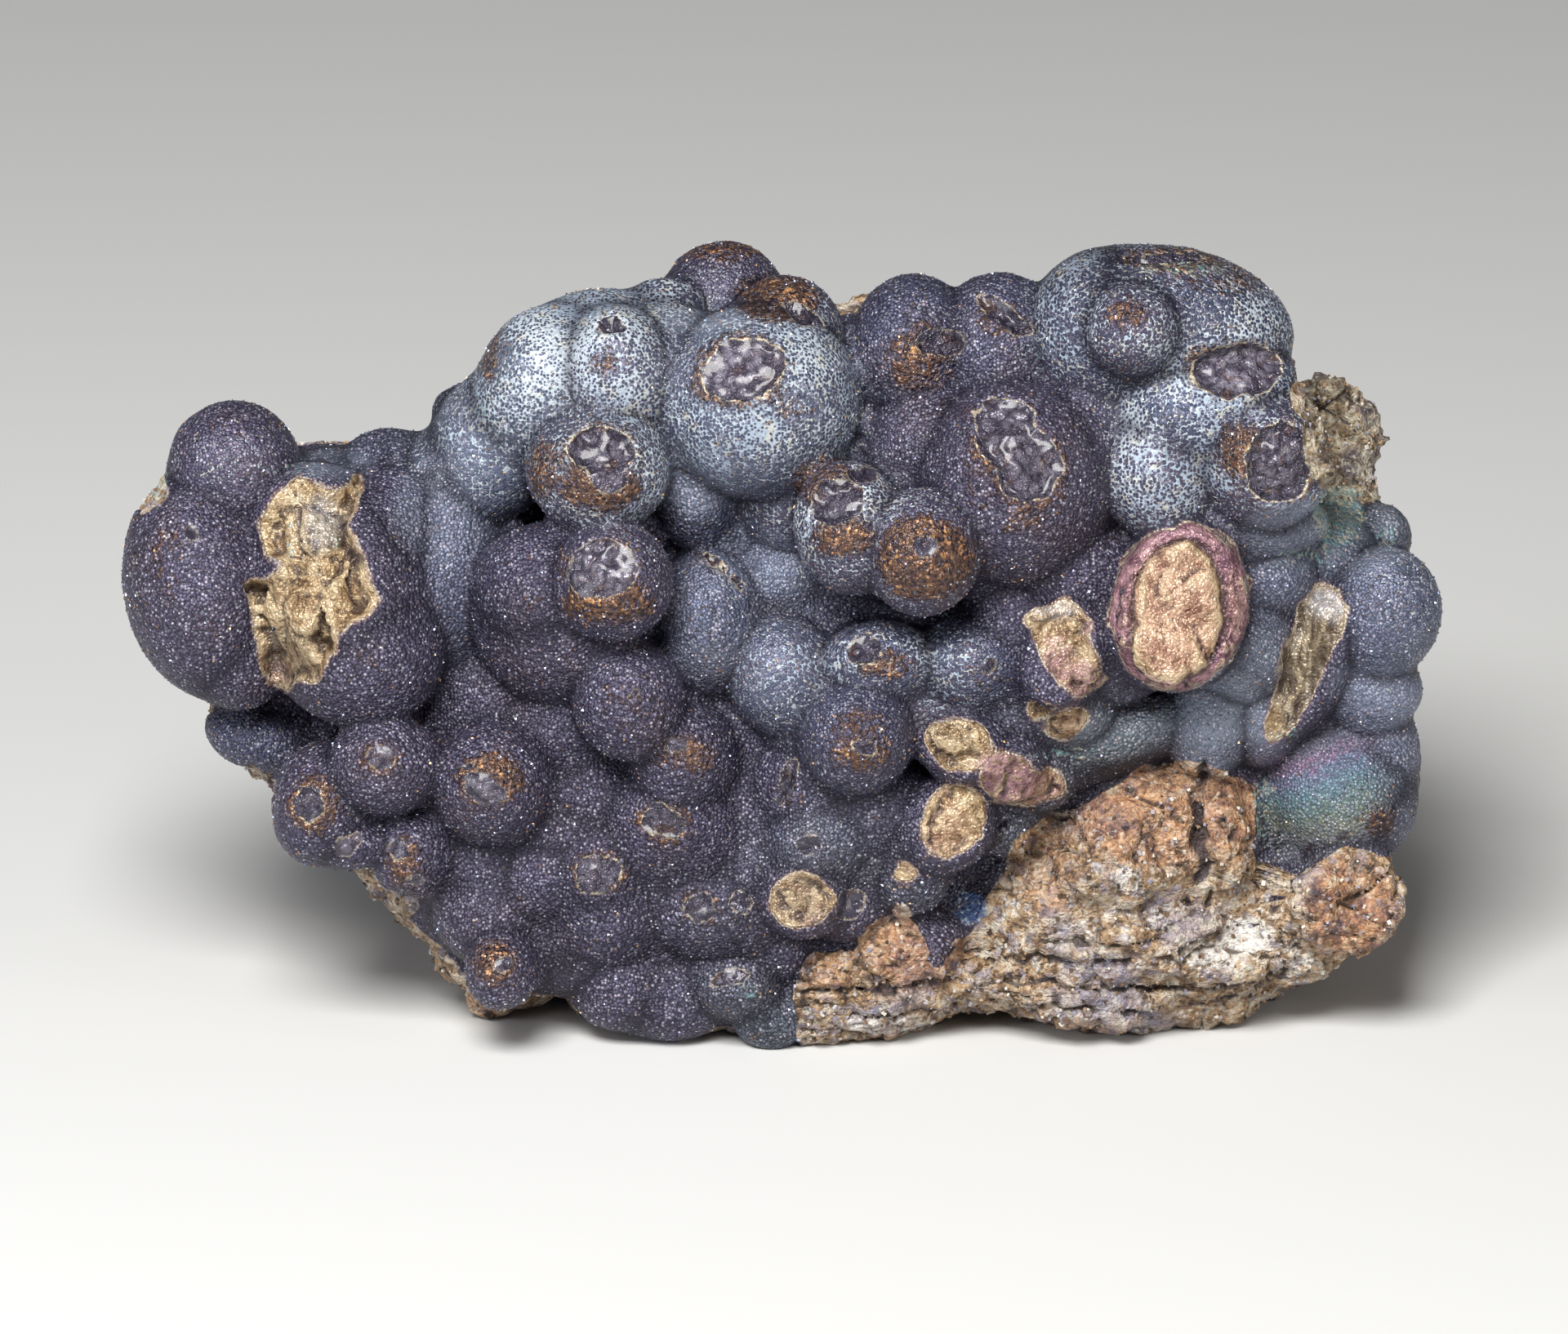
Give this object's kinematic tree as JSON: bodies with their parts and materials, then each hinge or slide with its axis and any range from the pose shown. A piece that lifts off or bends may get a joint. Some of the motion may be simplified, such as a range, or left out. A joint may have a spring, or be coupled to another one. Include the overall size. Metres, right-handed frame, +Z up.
{
  "type": "chalcopyrite specimen",
  "caption": "Mineral specimen: a mass of rounded, tarnished lobes with brassy fractures, standing on its rough broken base.",
  "frame": {"origin": "on the ground, under the middle of the specimen's box", "axes": "+Z up, +X to the right across the lobed face, -Y out of the lobed face towards the viewer"},
  "size_m": [0.0751, 0.03, 0.0454],
  "materials": {
    "tarnished_chalcopyrite": "tarnished, finely crystalline violet-grey skin, brassy where broken, brown rock below"
  },
  "bodies": {
    "root": {"chalcopyrite_mass": "tarnished_chalcopyrite"}
  },
  "joints": []
}
